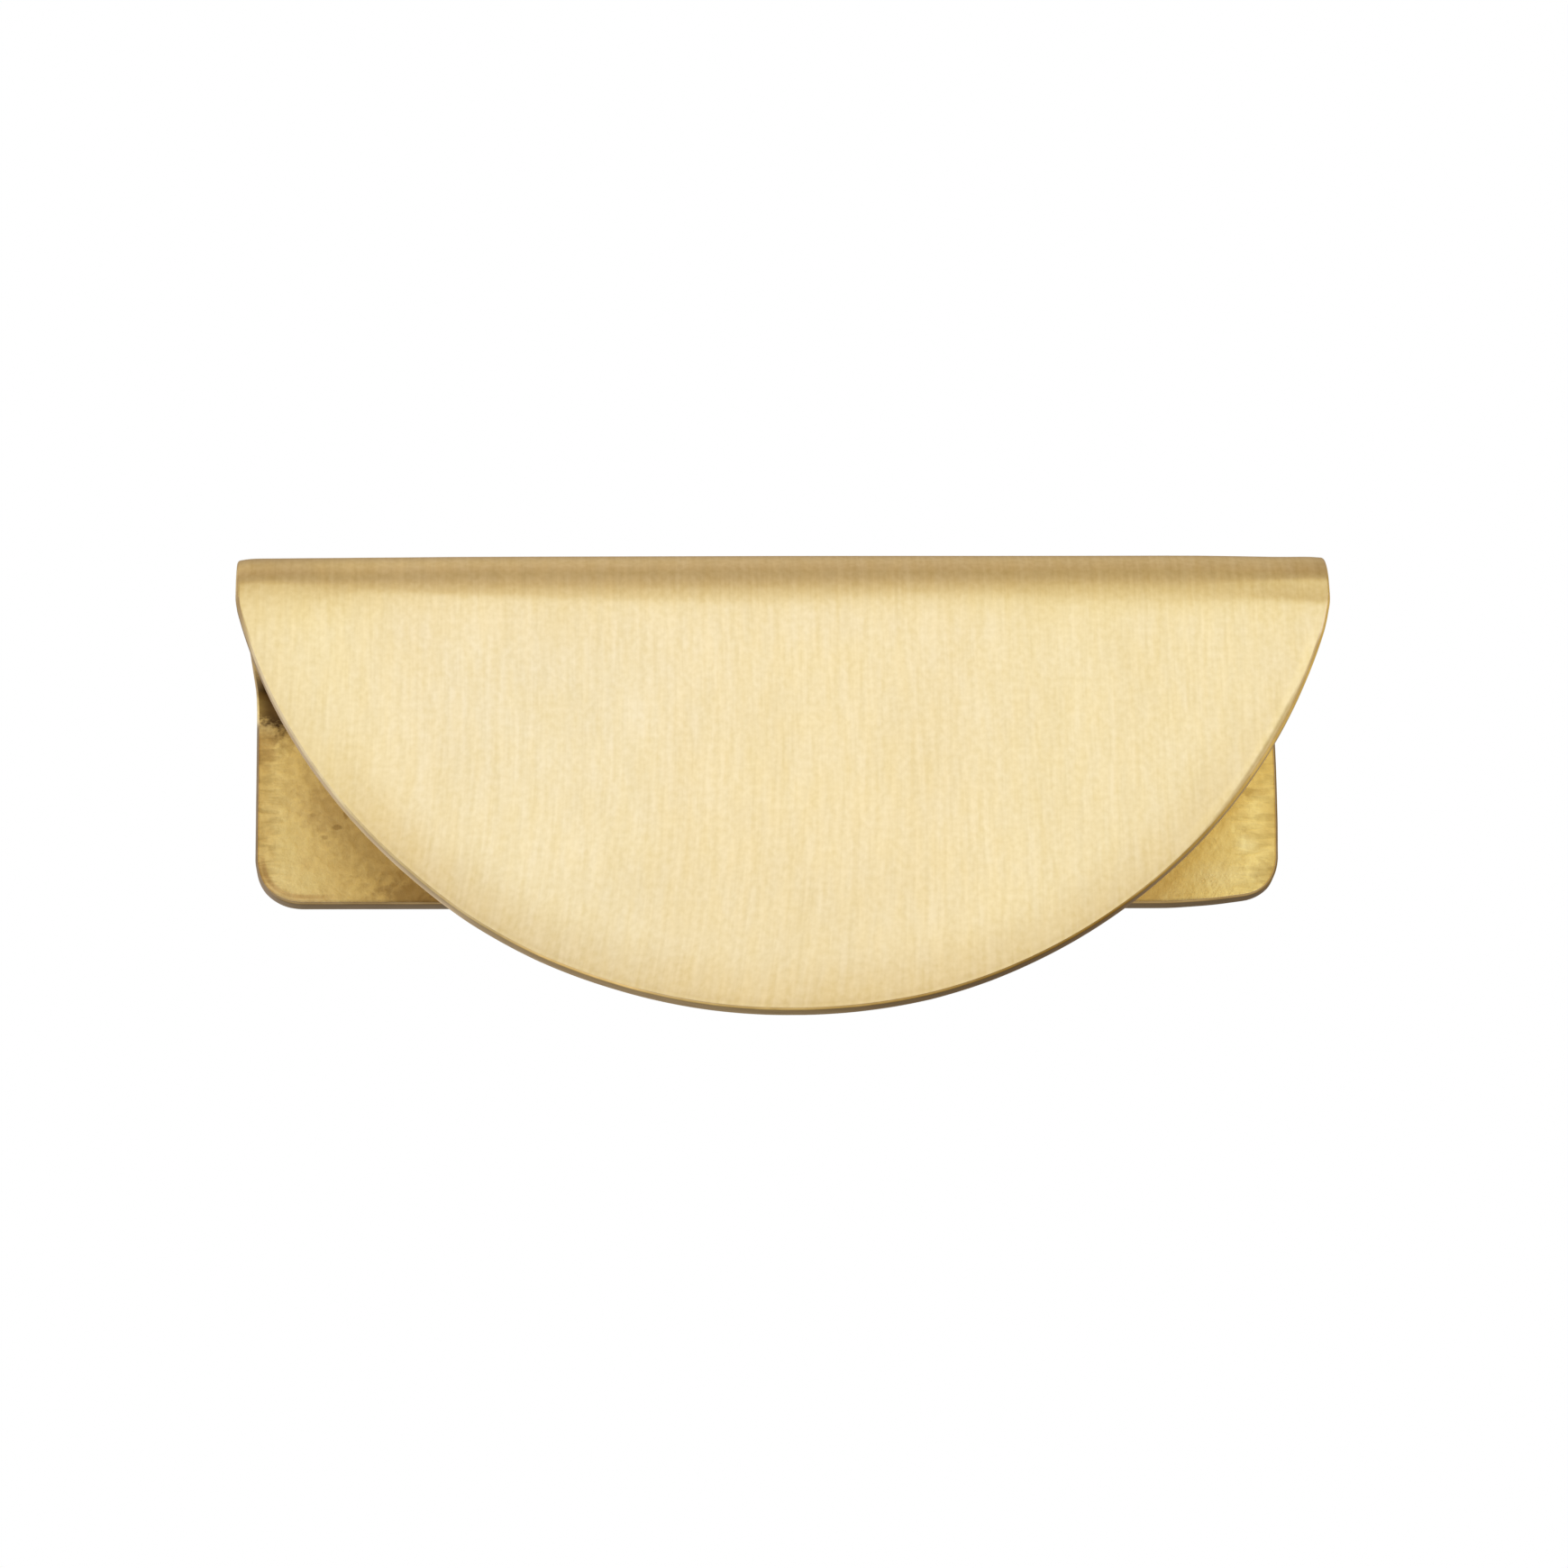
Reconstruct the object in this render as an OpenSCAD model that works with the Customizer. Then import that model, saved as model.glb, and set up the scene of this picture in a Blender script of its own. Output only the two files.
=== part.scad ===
// Half-moon lip pull: one strip of brass sheet folded twice into an upside-down U.
// The lip lies on the top edge of a drawer front or door, the back plate is screwed
// to its rear face, and the half-moon hangs in front as the finger grip.
// Frame: origin midway between the two screw holes, on the back plate's bearing face.
// +X runs along the lip, +Z is up, and the half-moon is on the -Y side.

/* [Lip] */
// Width of the pull along the top edge of the drawer front
pull_w = 100; // [80:1:140]
// Clear depth between the half-moon and the back plate
clear_d = 37.6; // [24:0.2:50]
// Thickness of the sheet
sheet_t = 2; // [1.6:0.1:2.4]
// Outer radius of the two folds
fold_r = 5; // [3.5:0.1:6]
// Radius that every cut edge is polished to
edge_r = 0.35; // [0.15:0.05:0.5]

/* [Half-moon] */
// Height from the lip's top to the lowest point of the half-moon
flange_h = 44.3; // [38:0.1:54]
// Radius that eases each straight side into the half-moon's arc
shoulder_r = 5; // [3:0.5:8]

/* [Back plate] */
// Height from the lip's top to the plate's lower edge, at its left end
plate_h = 22.85; // [22:0.05:24]
// Height from the lip's top to where the plate's straight sides end
side_h = 18; // [17:0.1:18.5]
// Corner radius at the lower right, seen from the front
corner_r = 4.5; // [4:0.1:4.7]
// How much the plate's lower edge falls towards its right end, in degrees
plate_fall = 0.2; // [0.1:0.05:0.25]
// Steepest slope of the hand-filed lead into the right corner, in degrees
lead_a = 8; // [8:1:9]
// Distance from the right side to the middle of that lead
lead_w = 6.7; // [6:0.1:7.5]

/* [Screw holes] */
// Distance between the centres of the two screw holes
hole_pitch = 64; // [40:1:70]
// Diameter of the screw holes
hole_d = 4; // [3:0.1:5]
// Diameter of the countersinks at the rear face
sink_d = 7; // [6:0.1:8]
// Height of the hole centres below the lip's top
hole_drop = 14; // [10:0.1:15]

/* [Hidden] */
$fn = 240;
half = pull_w / 2;
nip = 0.02;
far = 200;
// the half-moon's arc: tangent to both shoulders and through the lowest point
drop = flange_h - fold_r;
inner = half - shoulder_r;
arc_r = (inner * inner + drop * drop - shoulder_r * shoulder_r) / (2 * (drop - shoulder_r));
arc_y = arc_r - flange_h;
lean = atan2(arc_y + fold_r, inner);
// centres of the back plate's two lower corners
corner_l = plate_h - side_h;
ctr_l = [-half + corner_l, -side_h];
ctr_r = [half - corner_r, -side_h];
// the lead into the right corner: two short flats at lead_a and half of it
function out(a) = [cos(a), sin(a)];
lead_c = out(lead_a - 90) * ctr_r + corner_r - nip;
lead_x = half - lead_w;
lead_y = (lead_x * sin(lead_a) - lead_c) / cos(lead_a);

// section of the sheet at a cut edge: w deep, both corners rounded at the far end
module edge_section(w) {
    square([w - edge_r, sheet_t]);
    translate([0, edge_r]) square([w, sheet_t - 2 * edge_r]);
    translate([w - edge_r, edge_r]) circle(r = edge_r, $fn = 48);
    translate([w - edge_r, sheet_t - edge_r]) circle(r = edge_r, $fn = 48);
}

// section across the whole width of the sheet, both edges rounded
module full_section() {
    translate([-half + edge_r, 0]) square([pull_w - 2 * edge_r, sheet_t]);
    translate([-half, edge_r]) square([pull_w, sheet_t - 2 * edge_r]);
    for (x = [-1, 1], y = [edge_r, sheet_t - edge_r])
        translate([x * (half - edge_r), y]) circle(r = edge_r, $fn = 48);
}

// flat sheet of the full width, from height y = top down to y = low
module slab(top, low) {
    translate([0, top, 0]) rotate([90, 0, 0]) linear_extrude(height = top - low) full_section();
}

// all of the flat sheet on the inner side of a straight rounded edge,
// whose outward direction is a and whose distance from the origin is c
module trim(a, c) {
    rotate([0, 0, a]) translate([c - far, far, 0])
        rotate([90, 0, 0]) linear_extrude(height = 2 * far) edge_section(far);
}

// quarter of a round corner with its own rounded edge, in the quadrant from a to a + 90
module corner(c, r, a) {
    translate([c[0], c[1], 0]) rotate([0, 0, a]) rotate_extrude(angle = 90) edge_section(r);
}

// the half-moon, flat, with the lip's top at y = 0
module moon_sheet() {
    intersection() {
        slab(-fold_r, -flange_h - 1);
        translate([0, arc_y, 0]) rotate_extrude() edge_section(arc_r);
        for (s = [0, 1], k = [1, 2]) mirror([s, 0, 0])
            trim(-k * lean / 3, out(-k * lean / 3) * [inner, -fold_r] + shoulder_r);
    }
}

// the back plate, flat, with the lip's top at y = 0
module plate_sheet() {
    intersection() {
        union() {
            slab(-fold_r, -side_h);
            corner(ctr_l, corner_l, 180);
            corner(ctr_r, corner_r, 270);
            translate([ctr_l[0], -plate_h - 2, 0])
                cube([ctr_r[0] - ctr_l[0], plate_h + 2 - side_h, sheet_t]);
        }
        trim(-90 - plate_fall, out(-90 - plate_fall) * [ctr_l[0], -plate_h + nip]);
        trim(lead_a / 2 - 90, out(lead_a / 2 - 90) * [lead_x, lead_y]);
        trim(lead_a - 90, lead_c);
    }
}

// quarter turn of the sheet about the X axis, from the lip down to a leg
module fold() {
    rotate([0, 90, 0]) rotate([0, 0, 90])
        rotate_extrude(angle = 90) translate([fold_r - sheet_t, 0])
            rotate([0, 0, 90]) mirror([0, 1, 0]) full_section();
}

// countersunk screw hole, driven from the rear face
module screw_hole() {
    sink_h = (sink_d - hole_d) / 2;
    rotate([-90, 0, 0]) {
        translate([0, 0, -1]) cylinder(d = hole_d, h = sheet_t + 2);
        translate([0, 0, sheet_t - sink_h]) cylinder(d1 = hole_d, d2 = sink_d + 2, h = sink_h + 1);
    }
}

module lip_pull() {
    color([0.86, 0.74, 0.46]) difference() {
        translate([0, 0, hole_drop]) union() {
            translate([0, -clear_d, 0]) rotate([90, 0, 0]) moon_sheet();
            translate([0, -clear_d - sheet_t + fold_r, -fold_r]) mirror([0, 1, 0]) fold();
            translate([0, sheet_t - fold_r, -sheet_t]) rotate([90, 0, 0])
                linear_extrude(height = clear_d + 2 * sheet_t - 2 * fold_r) full_section();
            translate([0, sheet_t - fold_r, -fold_r]) fold();
            translate([0, sheet_t, 0]) rotate([90, 0, 0]) plate_sheet();
        }
        for (s = [-1, 1]) translate([s * hole_pitch / 2, 0, 0]) screw_hole();
    }
}

lip_pull();
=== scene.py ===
# The looks of a half-moon lip pull: one brass sheet, folded twice, brushed on its outer side.
# Lengths in the sheet's own tables are millimetres; everything handed to Blender is in metres.
import math

import bpy
import numpy as np
from mathutils import Matrix, Vector
from mathutils.geometry import delaunay_2d_cdt


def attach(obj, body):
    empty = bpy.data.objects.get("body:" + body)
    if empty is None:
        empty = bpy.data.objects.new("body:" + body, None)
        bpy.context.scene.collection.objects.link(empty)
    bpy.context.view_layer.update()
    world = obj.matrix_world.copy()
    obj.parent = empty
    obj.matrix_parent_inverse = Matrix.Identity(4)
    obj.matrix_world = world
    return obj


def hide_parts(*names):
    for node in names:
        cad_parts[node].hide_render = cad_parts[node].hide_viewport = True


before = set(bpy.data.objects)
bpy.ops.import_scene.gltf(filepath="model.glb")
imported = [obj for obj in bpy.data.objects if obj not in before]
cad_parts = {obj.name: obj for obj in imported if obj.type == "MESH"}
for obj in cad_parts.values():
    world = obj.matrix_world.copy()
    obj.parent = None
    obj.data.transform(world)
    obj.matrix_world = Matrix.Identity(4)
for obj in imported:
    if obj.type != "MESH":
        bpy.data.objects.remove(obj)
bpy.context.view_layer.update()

# ------------------------------------------------------------------ the sheet's section
HALF = 50.0          # half the width
SHEET = 2.0          # thickness
TOP = 14.0           # height of the lip's top
FRONT = -39.6        # outer face of the half-moon
REAR = 2.0           # outer face of the back plate
RIM = 0.22           # radius of every cut edge


def bend(r, lead, tail, n):
    """Quarter turn of the outer face, from heading +Z to heading +Y. The curvature rises over
    lead and falls over tail. Returns lengths, points (y, z), and normal angles above -Y."""
    flat = r * math.pi / 2 - (lead + tail) / 2
    total = lead + flat + tail
    fine = np.linspace(0, total, 4001)
    k = np.interp(fine, [0, lead, lead + flat, total], [0, 1, 1, 0]) / r
    step = fine[1] - fine[0]
    turn = np.concatenate([[0], np.cumsum((k[1:] + k[:-1]) / 2 * step)])
    turn *= (math.pi / 2) / turn[-1]
    dy, dz = np.sin(turn), np.cos(turn)
    y = np.concatenate([[0], np.cumsum((dy[1:] + dy[:-1]) / 2 * step)])
    z = np.concatenate([[0], np.cumsum((dz[1:] + dz[:-1]) / 2 * step)])
    s = np.linspace(0, total, n + 1)
    return s, np.interp(s, fine, y), np.interp(s, fine, z), np.interp(s, fine, turn)


F_S, F_Y, F_Z, F_A = bend(4.75, 0.5, 0.5, 40)     # front fold, before grinding
B_S, B_Y, B_Z, B_A = bend(4.7, 1.0, 1.0, 36)      # rear fold, read from the plate up
Z_FRONT = TOP - F_Z[-1]                           # where the front fold begins
Z_REAR = TOP - B_Z[-1]                            # where the rear fold ends
LEN_F, LEN_B = F_S[-1], B_S[-1]
LEN_LIP = (REAR - B_Y[-1]) - (FRONT + F_Y[-1])
S1, S2 = LEN_F, LEN_F + LEN_LIP                   # the lip, along the sheet
S3 = S2 + LEN_B                                   # the back plate begins

# The half-moon was ground flat by hand after folding, so the fold runs into it in shallow facets.
# Each row: x, then (height, tilt of the outer face in degrees) from the fold's round part down.
GROUND = [
    (-50.0, (10.72, 20.2), (10.17, 9.0), (9.05, 6.4), (8.35, 4.9), (8.15, 4.5), (6.40, 2.1), (4.50, 0)),
    (-46.8, (10.74, 20.2), (10.21, 8.6), (9.03, 6.0), (8.31, 4.7), (8.13, 4.3), (6.54, 2.1), (4.80, 0)),
    (-43.6, (10.84, 19.9), (9.93, 8.9), (9.20, 6.9), (8.48, 5.2), (8.21, 4.8), (6.71, 2.0), (5.14, 0)),
    (-38.7, (10.83, 19.1), (10.04, 10.7), (9.81, 9.6), (9.62, 9.0), (9.12, 5.1), (7.92, 3.4), (5.82, 0)),
    (-34.6, (10.87, 18.8), (10.07, 11.6), (9.79, 10.4), (9.47, 9.0), (8.88, 4.2), (7.90, 2.5), (6.16, 0)),
    (-30.5, (10.96, 18.4), (10.06, 11.9), (9.69, 10.2), (9.27, 8.7), (8.64, 3.2), (7.89, 2.2), (6.32, 0)),
    (-22.3, (11.05, 18.4), (10.05, 12.3), (9.58, 9.5), (8.94, 7.4), (8.31, 2.8), (7.52, 1.5), (6.30, 0)),
    (-14.1, (11.13, 18.8), (10.04, 12.1), (9.39, 9.0), (8.52, 6.0), (7.90, 2.2), (7.33, 1.5), (6.11, 0)),
    (-0.2, (11.20, 19.1), (10.20, 12.7), (9.36, 8.2), (8.22, 4.5), (7.78, 2.2), (7.21, 1.2), (6.08, 0)),
    (10.5, (11.14, 18.8), (10.18, 12.0), (9.52, 9.0), (9.34, 8.4), (8.88, 6.0), (8.07, 3.4), (6.05, 0)),
    (18.8, (11.10, 18.8), (10.10, 11.7), (9.51, 9.0), (9.32, 8.4), (8.86, 6.0), (8.06, 3.6), (6.03, 0)),
    (27.1, (11.10, 18.8), (9.80, 9.6), (9.22, 7.9), (8.58, 6.4), (8.04, 3.9), (7.42, 2.6), (6.01, 0)),
    (35.3, (11.12, 18.4), (10.14, 12.4), (9.39, 8.2), (8.66, 6.9), (7.93, 4.3), (7.31, 2.7), (5.99, 0)),
    (38.6, (11.08, 18.4), (9.85, 10.1), (9.20, 8.4), (8.56, 7.3), (7.84, 3.6), (7.21, 2.6), (5.98, 0)),
    (42.0, (10.95, 19.5), (10.08, 9.6), (9.38, 8.7), (8.83, 8.4), (7.88, 3.6), (7.21, 2.7), (5.80, 0)),
    (45.3, (10.80, 20.2), (10.22, 8.6), (9.48, 9.2), (8.64, 9.6), (7.96, 3.8), (7.20, 2.8), (5.79, 0)),
    (46.9, (10.80, 20.6), (10.31, 8.1), (9.57, 8.9), (8.41, 9.8), (7.91, 3.3), (7.20, 2.7), (5.79, 0)),
    (48.6, (10.84, 20.2), (10.31, 7.7), (9.39, 8.9), (8.23, 9.8), (7.77, 3.0), (7.02, 2.2), (5.79, 0)),
    (50.0, (10.84, 20.2), (10.31, 7.9), (9.39, 8.9), (8.23, 9.6), (7.70, 3.2), (7.02, 2.2), (5.79, 0)),
]
Z_LOW = 4.0                                       # below this the half-moon is a plain flat
G_X = np.linspace(-HALF, HALF, 401)
G_Z = np.linspace(Z_LOW, 11.4, 371)
_x = np.array([g[0] for g in GROUND])
G_KNOT = np.array([[np.interp(x, _x, [g[k + 1][c] for g in GROUND]) for k in range(7) for c in (0, 1)] for x in G_X])
G_KNOT = G_KNOT.reshape(len(G_X), 7, 2)
G_Z0, G_A0 = G_KNOT[:, 0, 0], np.radians(G_KNOT[:, 0, 1])


def set_back():
    """How far the ground fold lies behind the half-moon's flat, over G_X and G_Z."""
    out = np.empty((len(G_X), len(G_Z)))
    dz = G_Z[1] - G_Z[0]
    for k, knot in enumerate(G_KNOT):
        tilt = np.tan(np.radians(np.interp(G_Z, knot[::-1, 0], knot[::-1, 1])))
        out[k] = np.concatenate([[0], np.cumsum((tilt[1:] + tilt[:-1]) / 2 * dz)])
    return out


G_BACK = set_back()
G_R = (TOP - G_Z0) / (1 - np.sin(G_A0))           # radius of the round part that is left
S0 = float(np.interp(math.radians(20), F_A, F_S)) # where it begins, along the sheet


def back_at(x, z):
    fx = np.clip((x - G_X[0]) / (G_X[1] - G_X[0]), 0, len(G_X) - 1.001)
    fz = np.clip((z - G_Z[0]) / (G_Z[1] - G_Z[0]), 0, len(G_Z) - 1.001)
    i, j = fx.astype(int), fz.astype(int)
    u, v = fx - i, fz - j
    b = G_BACK
    return (b[i, j] * (1 - u) + b[i + 1, j] * u) * (1 - v) + (b[i, j + 1] * (1 - u) + b[i + 1, j + 1] * u) * v


def ground(x, s, y, z):
    """The outer face (y, z) after grinding; the rear fold and the plate stay as they are."""
    y, z = y.copy(), z.copy()
    z0 = np.interp(x, G_X, G_Z0)
    a0 = np.interp(x, G_X, G_A0)
    r0 = np.interp(x, G_X, G_R)
    at0 = back_at(x, z0)
    yc = FRONT + at0 + r0 * np.cos(a0)
    m = (s > 0) & (s <= S0)
    z[m] = Z_FRONT + (s / S0 * (z0 - Z_FRONT))[m]
    m = s <= S0
    y[m] = FRONT + back_at(x, z)[m]
    m = (s > S0) & (s <= S1)
    a = a0 + (s - S0) / (S1 - S0) * (math.pi / 2 - a0)
    y[m] = (yc - r0 * np.cos(a))[m]
    z[m] = (TOP - r0 + r0 * np.sin(a))[m]
    m = (s > S1) & (s <= S2)
    end = REAR - B_Y[-1]
    y[m] = (yc + (s - S1) / (S2 - S1) * (end - yc))[m]
    return y, z


def section(s):
    """Outer face (y, z) and outward normal (ny, nz) at length s along the sheet."""
    s = np.asarray(s, float)
    y = np.where(s <= 0, FRONT, 0.0)
    z = np.where(s <= 0, Z_FRONT + s, 0.0)
    a = np.zeros_like(s)
    m = (s > 0) & (s <= S1)
    y[m] = FRONT + np.interp(s[m], F_S, F_Y)
    z[m] = Z_FRONT + np.interp(s[m], F_S, F_Z)
    a[m] = np.interp(s[m], F_S, F_A)
    m = (s > S1) & (s <= S2)
    y[m] = FRONT + F_Y[-1] + (s[m] - S1)
    z[m] = TOP
    a[m] = math.pi / 2
    m = (s > S2) & (s <= S3)
    b = S3 - s[m]
    y[m] = REAR - np.interp(b, B_S, B_Y)
    z[m] = Z_REAR + np.interp(b, B_S, B_Z)
    a[m] = math.pi - np.interp(b, B_S, B_A)
    m = s > S3
    y[m] = REAR
    z[m] = Z_REAR - (s[m] - S3)
    a[m] = math.pi
    return y, z, -np.cos(a), np.sin(a)


# ------------------------------------------------------------------ its outline, laid flat
DROP, SHOULDER = 39.3, 5.0
INNER = HALF - SHOULDER
ARC_R = (INNER**2 + DROP**2 - SHOULDER**2) / (2 * (DROP - SHOULDER))
ARC_Z = ARC_R - 44.3 + TOP
LEAN = math.atan2(ARC_Z - TOP + 5.0, INNER)
SIDE_Z = 9.0                                      # where the half-moon's straight sides end


def arc(cx, cz, r, a0, a1, step):
    n = max(2, int(math.ceil(abs(a1 - a0) * r / step)))
    t = np.linspace(a0, a1, n + 1)
    return np.column_stack([cx + r * np.cos(t), cz + r * np.sin(t)])


def front_s(p):
    return np.column_stack([p[:, 0], p[:, 1] - Z_FRONT])


def rear_s(p):
    return np.column_stack([p[:, 0], S3 + Z_REAR - p[:, 1]])


def rows():
    """Lengths along the sheet of the mesh's rows between the half-moon and the plate's sides."""
    run_out = np.concatenate([np.arange(Z_LOW, 6.0, 0.4), np.arange(6.0, 7.2, 0.3), np.arange(7.2, 9.0, 0.15)])
    run_out -= Z_FRONT
    steps = int(S0 / 0.15) + 1
    fold_f = np.concatenate([run_out, np.linspace(0, S0, steps + 1), np.linspace(S0, S1, 27)[1:]])
    fold_b = S3 - B_S[::-1]
    lip = np.linspace(S1, S2, int(LEN_LIP / 0.9) + 1)[1:-1]
    return np.concatenate([fold_f, lip, fold_b])


SIDE_ROWS = rows()
# the half-moon, from its left shoulder round the lowest point to its right shoulder
moon = np.vstack([
    arc(-INNER, SIDE_Z, SHOULDER, math.pi, math.pi + LEAN, 0.3),
    arc(0, ARC_Z, ARC_R, math.pi + LEAN, 2 * math.pi - LEAN, 0.45)[1:],
    arc(INNER, SIDE_Z, SHOULDER, -LEAN, 0, 0.3)[1:],
])


def swell(p):
    """The hand-cut half-moon wanders a little off a true arc."""
    ahead, behind = np.roll(p, -1, 0), np.roll(p, 1, 0)
    ahead[-1], behind[0] = p[-1], p[0]
    t = ahead - behind
    t /= np.linalg.norm(t, axis=1)[:, None]
    beta = np.degrees(np.arctan2(ARC_Z - p[:, 1], np.abs(p[:, 0])))
    left = np.interp(beta, [13, 18, 25, 32, 44, 49, 56, 64, 72, 82, 90], [0, 0.02, 0.01, -0.04, -0.08, -0.06, 0.08, 0.10, 0.02, 0.02, 0])
    right = np.interp(beta, [13, 18, 25, 34, 44, 48, 56, 65, 70, 76, 81, 86, 90], [0, 0.17, 0.09, 0, -0.03, -0.05, -0.02, 0.05, 0.11, 0.14, 0.08, 0.03, 0])
    grow = np.where(p[:, 0] < 0, left, right) * np.clip((SIDE_Z - p[:, 1]) / 2.5, 0, 1)
    out = p + np.column_stack([t[:, 1], -t[:, 0]]) * grow[:, None]
    out[:, 0] = np.clip(out[:, 0], -HALF, HALF)
    out[:, 1] = np.maximum(out[:, 1], ARC_Z - ARC_R)
    return out


moon = front_s(swell(moon))
side = SIDE_ROWS[SIDE_ROWS > SIDE_Z - Z_FRONT + 0.12]
PLATE_SIDE = S3 + Z_REAR + 4.0                    # the plate's sides end at z = -4
side = np.concatenate([side, np.linspace(S3, PLATE_SIDE, int((PLATE_SIDE - S3) / 0.6) + 1)[1:-1]])


def trim_plate(p):
    """The back plate's hand-filed sides: they draw in a little above the right corner,
    and the left corner is a touch fuller than its arc."""
    x, z = p[:, 0].copy(), p[:, 1]
    fix_r = np.interp(z, [-9, -8.5, -8.1, -7.6, -7.1, -6.2, -5.2, -4.3, -3.4, -2.5, -1, 1, 3, 5],
                      [0, 0.12, 0.14, 0.13, 0.10, -0.06, -0.17, -0.22, -0.20, -0.16, -0.10, -0.06, -0.02, 0])
    fix_l = np.interp(z, [-9, -8.7, -8.1, -7.1, -6.2, -5.2, -4], [0, 0.28, 0.28, 0.24, 0.14, 0.04, 0])
    x += np.where(p[:, 0] > 40, fix_r, 0) - np.where(p[:, 0] < -40, fix_l, 0)
    return np.column_stack([np.clip(x, -HALF, HALF), z])


right_side = rear_s(trim_plate(rear_s(np.column_stack([np.full(len(side), HALF), side]))))
left_side = np.column_stack([np.full(len(side), -HALF), side[::-1]])


def plate_edge():
    """The back plate's lower edge and corners, from its right side to its left one."""
    r1, r2 = 4.5, 4.85
    c1, c2 = (HALF - r1, -4.0), (-HALF + r2, -4.0)
    fall, lead = math.radians(0.2), math.radians(8)
    right = arc(c1[0], c1[1], r1, 0, lead - math.pi / 2, 0.3)
    # three straight runs of the edge, eased where they meet
    x = np.arange(right[-1, 0] - 0.3, c2[0] - r2 * math.sin(fall), -0.5)
    low = c2[1] - r2
    t1 = low - (x - c2[0]) * math.tan(fall)
    base = right[-1]
    t3 = base[1] + (x - base[0]) * math.tan(lead)
    mid = HALF - 6.7
    z3 = base[1] + (mid - base[0]) * math.tan(lead)
    t2 = z3 + (x - mid) * math.tan(lead / 2)
    soft = 0.035
    z = soft * np.log(np.exp((t1 - low) / soft) + np.exp((t2 - low) / soft) + np.exp((t3 - low) / soft)) + low
    z = np.minimum(z, np.maximum(np.maximum(t1, t2), t3) + 0.03)
    z -= np.interp(x, [mid - 1, right[-1, 0]], [0, 1]) * (z[0] - t3[0])
    left = arc(c2[0], c2[1], r2, -math.pi / 2 - fall, -math.pi, 0.3)
    return np.vstack([right[1:], np.column_stack([x, z]), left[:-1]])


LOOP = np.vstack([moon, right_side, rear_s(trim_plate(plate_edge())), left_side])


def outward(loop):
    ahead, behind = np.roll(loop, -1, 0), np.roll(loop, 1, 0)
    t = ahead - behind
    t /= np.linalg.norm(t, axis=1)[:, None]
    return np.column_stack([t[:, 1], -t[:, 0]])


NORMAL = outward(LOOP)
# the front rim is filed wider on the half-moon's upper right flank, and a little at its left shoulder
_beta = np.degrees(np.arctan2(ARC_Z - (LOOP[:, 1] + Z_FRONT), np.abs(LOOP[:, 0])))
FLANK = np.where(LOOP[:, 0] > 0, np.interp(_beta, [8, 14, 20, 28, 36, 42], [0, 0.3, 0.4, 0.4, 0.3, 0]),
                 np.interp(_beta, [10, 14, 17, 19], [0, 0.3, 0.1, 0]))
FLANK *= LOOP[:, 1] < 0
HOLES = [(-32.0, S3 + Z_REAR), (32.0, S3 + Z_REAR)]   # centres at z = 0
HOLE_N = 72

# rings: (distance in from the outline, depth below the outer face)
SUPPORT = 0.07
round_up = [(RIM - RIM * math.sin(t), RIM - RIM * math.cos(t)) for t in np.linspace(0, math.pi / 2, 8)]
EDGE = [(RIM + SUPPORT, 0.0)] + round_up + [(0.0, SHEET / 2)]
EDGE += [(d, SHEET - w) for d, w in reversed(round_up)] + [(RIM + SUPPORT, SHEET)]
SINK = [(3.72, 0.0), (3.62, 0.0), (3.54, 0.012), (3.48, 0.05), (2.06, 1.47), (2.01, 1.53), (2.0, 1.6),
        (2.0, 1.86), (2.02, 1.93), (2.07, 1.98), (2.14, 2.0), (2.24, 2.0)]


def inside(points, loop, chunk=2000):
    """Even-odd test of points against a closed loop."""
    out = np.zeros(len(points), bool)
    x1, y1 = loop[:, 0], loop[:, 1]
    x2, y2 = np.roll(x1, -1), np.roll(y1, -1)
    for i in range(0, len(points), chunk):
        p = points[i:i + chunk]
        px, py = p[:, :1], p[:, 1:]
        cross = (y1 > py) != (y2 > py)
        at = x1 + (py - y1) / np.where(y2 == y1, 1e-12, y2 - y1) * (x2 - x1)
        out[i:i + chunk] = (np.sum(cross & (px < at), axis=1) % 2) == 1
    return out


def gap_to(points, loop, chunk=1000):
    """Distance of each point to the loop's points."""
    out = np.empty(len(points))
    for i in range(0, len(points), chunk):
        d = points[i:i + chunk, None, :] - loop[None, :, :]
        out[i:i + chunk] = np.sqrt((d**2).sum(2)).min(1)
    return out


def grid():
    """Points of the mesh inside the outline: rows across the sheet, dense on the folds."""
    low = (ARC_Z - ARC_R) - Z_FRONT
    front = np.arange(Z_LOW - Z_FRONT - 0.5, low, -0.9)
    plate = np.arange(S3 + 0.9, LOOP[:, 1].max(), 0.9)
    pts = []
    wide = np.arange(-49.5, 49.51, 1.1)
    dense = np.concatenate([np.arange(-49.5, -40, 0.45), np.arange(-40, 40, 0.9), np.arange(40, 49.6, 0.45)])
    for k, s in enumerate(np.concatenate([front, SIDE_ROWS, plate])):
        x = dense if s <= S1 + 1e-6 and s >= Z_LOW - Z_FRONT - 1e-6 else wide
        x = x + (0.2 if k % 2 else 0.0)
        pts.append(np.column_stack([x, np.full(len(x), s)]))
    return np.vstack(pts)


GRID = grid()


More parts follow.
